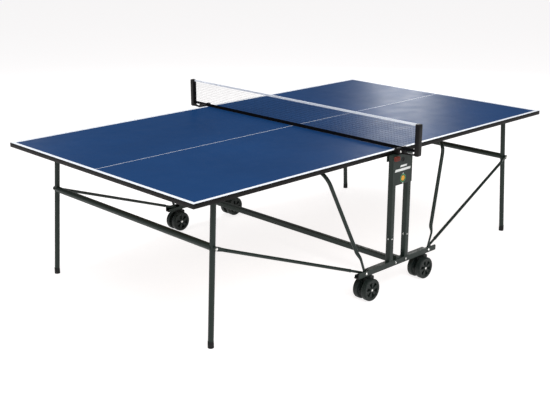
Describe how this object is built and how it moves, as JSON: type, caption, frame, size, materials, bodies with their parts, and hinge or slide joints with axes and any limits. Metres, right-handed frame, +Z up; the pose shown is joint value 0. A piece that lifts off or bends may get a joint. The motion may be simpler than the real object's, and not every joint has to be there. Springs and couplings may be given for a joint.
{
  "type": "table tennis table",
  "caption": "Folding table tennis table on a central wheeled carriage, each half with folding legs, strut frame and telescopic braces, and a clamped net.",
  "frame": {"origin": "on the floor under the centre of the net", "axes": "+X along the table's length, +Y across it, +Z up"},
  "size_m": [2.74, 1.81, 0.9125],
  "materials": {
    "frame_paint": "dark green semi-gloss powder coat",
    "black_plastic": "moulded, fine texture",
    "wheel_plastic": "dark green-black moulded plastic",
    "zinc": "bright zinc plate",
    "red_plastic": "moulded red plastic",
    "playing_surface": "chipboard with a matt blue lacquer and white lines",
    "edge_paint": "dark brown-black satin paint",
    "net_cord": "knotted fine dark net",
    "tape_white": "woven white tape",
    "band_black": "woven black band",
    "rubber": "moulded rubber",
    "nylon": "nylon glide"
  },
  "bodies": {
    "carriage": {"base_bar_near": "frame_paint", "base_bar_far": "frame_paint", "bar_end_caps": "black_plastic", "cross_beam": "frame_paint", "guide_tube_near_left": "frame_paint", "guide_tube_near_right": "frame_paint", "guide_tube_far_left": "frame_paint", "guide_tube_far_right": "frame_paint", "column_plate_near": "frame_paint", "column_plate_far": "frame_paint", "carriage_bolts": "zinc", "net_clamp_near": "black_plastic", "net_clamp_far": "black_plastic", "net_post_near": "black_plastic", "net_post_far": "black_plastic", "net": "net_cord", "net_top_tape": "tape_white", "net_bottom_band": "band_black"},
    "sliders_left": {"slider_blocks_left": "nylon"},
    "half_left": {"board_left": "playing_surface", "edge_rails_left": "edge_paint", "pivot_brackets_left": "frame_paint", "underside_brackets_left": "frame_paint"},
    "strut_left": {"strut_frame_left": "frame_paint"},
    "leg_frame_left": {"legs_left": "frame_paint", "leg_crossbar_left": "frame_paint", "foot_caps_left": "rubber", "brace_pins_left": "zinc"},
    "brace_tube_near_left": {"brace_tube_near_left": "frame_paint"},
    "brace_rod_near_left": {"brace_rod_near_left": "frame_paint"},
    "brace_tube_far_left": {"brace_tube_far_left": "frame_paint"},
    "brace_rod_far_left": {"brace_rod_far_left": "frame_paint"},
    "sliders_right": {"slider_blocks_right": "nylon"},
    "half_right": {"board_right": "playing_surface", "edge_rails_right": "edge_paint", "pivot_brackets_right": "frame_paint", "underside_brackets_right": "frame_paint"},
    "strut_right": {"strut_frame_right": "frame_paint"},
    "leg_frame_right": {"legs_right": "frame_paint", "leg_crossbar_right": "frame_paint", "foot_caps_right": "rubber", "brace_pins_right": "zinc"},
    "brace_tube_near_right": {"brace_tube_near_right": "frame_paint"},
    "brace_rod_near_right": {"brace_rod_near_right": "frame_paint"},
    "brace_tube_far_right": {"brace_tube_far_right": "frame_paint"},
    "brace_rod_far_right": {"brace_rod_far_right": "frame_paint"},
    "lock_near": {"lock_knob_near": "red_plastic"},
    "caster_near_left": {"caster_fork_near_left": "wheel_plastic"},
    "wheel_near_left_outer": {"wheel_near_left_outer": "wheel_plastic"},
    "wheel_near_left_inner": {"wheel_near_left_inner": "wheel_plastic"},
    "caster_near_right": {"caster_fork_near_right": "wheel_plastic"},
    "wheel_near_right_outer": {"wheel_near_right_outer": "wheel_plastic"},
    "wheel_near_right_inner": {"wheel_near_right_inner": "wheel_plastic"},
    "lock_far": {"lock_knob_far": "red_plastic"},
    "caster_far_left": {"caster_fork_far_left": "wheel_plastic"},
    "wheel_far_left_outer": {"wheel_far_left_outer": "wheel_plastic"},
    "wheel_far_left_inner": {"wheel_far_left_inner": "wheel_plastic"},
    "caster_far_right": {"caster_fork_far_right": "wheel_plastic"},
    "wheel_far_right_outer": {"wheel_far_right_outer": "wheel_plastic"},
    "wheel_far_right_inner": {"wheel_far_right_inner": "wheel_plastic"}
  },
  "joints": [
    {"name": "sliders_left_drop", "type": "slide", "parent": "carriage", "child": "sliders_left", "axis": [0, 0, 1], "range_m": [-0.412, 0]},
    {"name": "half_left_fold", "type": "hinge", "parent": "sliders_left", "child": "half_left", "pos_m": [-0.063, 0, 0.718], "axis": [0, 1, 0], "range_deg": [0, 90]},
    {"name": "strut_left_pivot", "type": "hinge", "parent": "half_left", "child": "strut_left", "pos_m": [-0.49, 0, 0.725], "axis": [0, -1, 0], "range_deg": [0, 49.2]},
    {"name": "legs_left_fold", "type": "hinge", "parent": "half_left", "child": "leg_frame_left", "pos_m": [-1.158, 0, 0.719], "axis": [0, -1, 0], "range_deg": [0, 90]},
    {"name": "brace_near_left_pivot", "type": "hinge", "parent": "leg_frame_left", "child": "brace_tube_near_left", "pos_m": [-1.17291, -0.671, 0.486], "axis": [0.0046, 1, 0.0026], "range_deg": [0, 80]},
    {"name": "brace_near_left_extend", "type": "slide", "parent": "brace_tube_near_left", "child": "brace_rod_near_left", "axis": [0.9321, -0.1074, -0.3459], "range_m": [0, 0.0655]},
    {"name": "brace_far_left_pivot", "type": "hinge", "parent": "leg_frame_left", "child": "brace_tube_far_left", "pos_m": [-1.17291, 0.671, 0.486], "axis": [-0.0046, 1, -0.0026], "range_deg": [0, 80]},
    {"name": "brace_far_left_extend", "type": "slide", "parent": "brace_tube_far_left", "child": "brace_rod_far_left", "axis": [0.9321, 0.1074, -0.3459], "range_m": [0, 0.0655]},
    {"name": "sliders_right_drop", "type": "slide", "parent": "carriage", "child": "sliders_right", "axis": [0, 0, 1], "range_m": [-0.412, 0]},
    {"name": "half_right_fold", "type": "hinge", "parent": "sliders_right", "child": "half_right", "pos_m": [0.063, 0, 0.718], "axis": [0, -1, 0], "range_deg": [0, 90]},
    {"name": "strut_right_pivot", "type": "hinge", "parent": "half_right", "child": "strut_right", "pos_m": [0.49, 0, 0.725], "axis": [0, 1, 0], "range_deg": [0, 49.2]},
    {"name": "legs_right_fold", "type": "hinge", "parent": "half_right", "child": "leg_frame_right", "pos_m": [1.158, 0, 0.719], "axis": [0, 1, 0], "range_deg": [0, 90]},
    {"name": "brace_near_right_pivot", "type": "hinge", "parent": "leg_frame_right", "child": "brace_tube_near_right", "pos_m": [1.17291, -0.671, 0.486], "axis": [0.0046, -1, -0.0026], "range_deg": [0, 80]},
    {"name": "brace_near_right_extend", "type": "slide", "parent": "brace_tube_near_right", "child": "brace_rod_near_right", "axis": [-0.9321, -0.1074, -0.3459], "range_m": [0, 0.0655]},
    {"name": "brace_far_right_pivot", "type": "hinge", "parent": "leg_frame_right", "child": "brace_tube_far_right", "pos_m": [1.17291, 0.671, 0.486], "axis": [-0.0046, -1, 0.0026], "range_deg": [0, 80]},
    {"name": "brace_far_right_extend", "type": "slide", "parent": "brace_tube_far_right", "child": "brace_rod_far_right", "axis": [-0.9321, 0.1074, -0.3459], "range_m": [0, 0.0655]},
    {"name": "lock_near_pull", "type": "slide", "parent": "carriage", "child": "lock_near", "axis": [0, -1, 0], "range_m": [0, 0.008], "stiffness_N_per_m": 400, "springref_m": -0.004},
    {"name": "caster_near_left_swivel", "type": "hinge", "parent": "carriage", "child": "caster_near_left", "pos_m": [-0.226, -0.781, 0.133], "axis": [0, 0, 1], "continuous": true},
    {"name": "wheel_near_left_outer_spin", "type": "hinge", "parent": "caster_near_left", "child": "wheel_near_left_outer", "pos_m": [-0.244, -0.8085, 0.06], "axis": [0, 1, 0], "continuous": true},
    {"name": "wheel_near_left_inner_spin", "type": "hinge", "parent": "caster_near_left", "child": "wheel_near_left_inner", "pos_m": [-0.244, -0.7535, 0.06], "axis": [0, 1, 0], "continuous": true},
    {"name": "caster_near_right_swivel", "type": "hinge", "parent": "carriage", "child": "caster_near_right", "pos_m": [0.226, -0.781, 0.133], "axis": [0, 0, 1], "continuous": true},
    {"name": "wheel_near_right_outer_spin", "type": "hinge", "parent": "caster_near_right", "child": "wheel_near_right_outer", "pos_m": [0.208, -0.8085, 0.06], "axis": [0, 1, 0], "continuous": true},
    {"name": "wheel_near_right_inner_spin", "type": "hinge", "parent": "caster_near_right", "child": "wheel_near_right_inner", "pos_m": [0.208, -0.7535, 0.06], "axis": [0, 1, 0], "continuous": true},
    {"name": "lock_far_pull", "type": "slide", "parent": "carriage", "child": "lock_far", "axis": [0, 1, 0], "range_m": [0, 0.008], "stiffness_N_per_m": 400, "springref_m": -0.004},
    {"name": "caster_far_left_swivel", "type": "hinge", "parent": "carriage", "child": "caster_far_left", "pos_m": [-0.226, 0.781, 0.133], "axis": [0, 0, 1], "continuous": true},
    {"name": "wheel_far_left_outer_spin", "type": "hinge", "parent": "caster_far_left", "child": "wheel_far_left_outer", "pos_m": [-0.244, 0.8085, 0.06], "axis": [0, 1, 0], "continuous": true},
    {"name": "wheel_far_left_inner_spin", "type": "hinge", "parent": "caster_far_left", "child": "wheel_far_left_inner", "pos_m": [-0.244, 0.7535, 0.06], "axis": [0, 1, 0], "continuous": true},
    {"name": "caster_far_right_swivel", "type": "hinge", "parent": "carriage", "child": "caster_far_right", "pos_m": [0.226, 0.781, 0.133], "axis": [0, 0, 1], "continuous": true},
    {"name": "wheel_far_right_outer_spin", "type": "hinge", "parent": "caster_far_right", "child": "wheel_far_right_outer", "pos_m": [0.208, 0.8085, 0.06], "axis": [0, 1, 0], "continuous": true},
    {"name": "wheel_far_right_inner_spin", "type": "hinge", "parent": "caster_far_right", "child": "wheel_far_right_inner", "pos_m": [0.208, 0.7535, 0.06], "axis": [0, 1, 0], "continuous": true}
  ],
  "couplings": [
    {"joint": "sliders_left_drop", "follows": "half_left_fold", "m_per_rad": -0.26215},
    {"joint": "strut_left_pivot", "follows": "half_left_fold", "ratio": 0.54496},
    {"joint": "legs_left_fold", "follows": "half_left_fold", "ratio": 1},
    {"joint": "brace_near_left_pivot", "follows": "half_left_fold", "ratio": 0.88807},
    {"joint": "brace_near_left_extend", "follows": "half_left_fold", "m_per_rad": 0.04133},
    {"joint": "brace_far_left_pivot", "follows": "half_left_fold", "ratio": 0.88807},
    {"joint": "brace_far_left_extend", "follows": "half_left_fold", "m_per_rad": 0.04133},
    {"joint": "sliders_right_drop", "follows": "half_right_fold", "m_per_rad": -0.26215},
    {"joint": "strut_right_pivot", "follows": "half_right_fold", "ratio": 0.54496},
    {"joint": "legs_right_fold", "follows": "half_right_fold", "ratio": 1},
    {"joint": "brace_near_right_pivot", "follows": "half_right_fold", "ratio": 0.88807},
    {"joint": "brace_near_right_extend", "follows": "half_right_fold", "m_per_rad": 0.04133},
    {"joint": "brace_far_right_pivot", "follows": "half_right_fold", "ratio": 0.88807},
    {"joint": "brace_far_right_extend", "follows": "half_right_fold", "m_per_rad": 0.04133}
  ]
}
